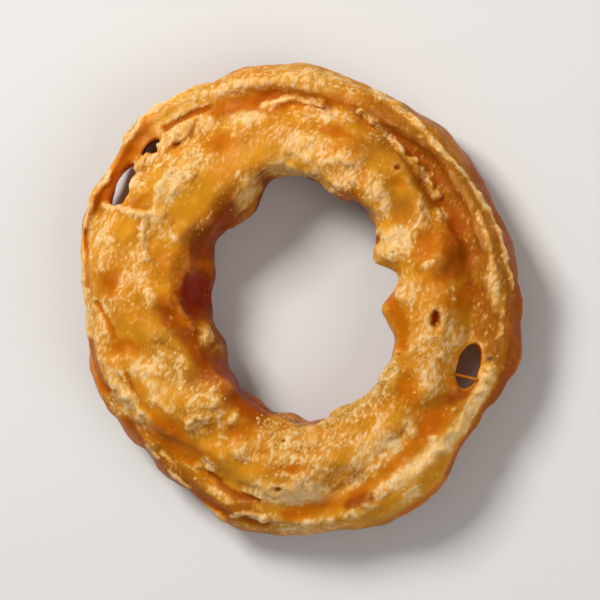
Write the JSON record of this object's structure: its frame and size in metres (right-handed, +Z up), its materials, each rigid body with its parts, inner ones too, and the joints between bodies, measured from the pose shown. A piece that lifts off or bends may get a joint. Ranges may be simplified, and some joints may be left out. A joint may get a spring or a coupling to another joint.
{
  "type": "calamari ring",
  "caption": "Battered, deep-fried squid ring lying flat: a thick crusty coil round a hole, a sunken web of batter with small frying tears, and a thin outer lip.",
  "frame": {"origin": "on the plane the ring rests on, under the middle of its bounding box", "axes": "+Z up through the hole, from the resting side to the better side; +Y along the ring's longer width; +X along its shorter width, towards the side where the outer lip stands off the coil"},
  "size_m": [0.0632, 0.0666, 0.0152],
  "materials": {
    "fried_batter": "crisp deep-fried batter: golden yellow where it is thin and smooth, light golden crust on the blistered parts, amber in the grooves and browned at the knobs and edges, with an oily sheen"
  },
  "bodies": {
    "root": {"calamari_ring": "fried_batter"}
  },
  "joints": []
}
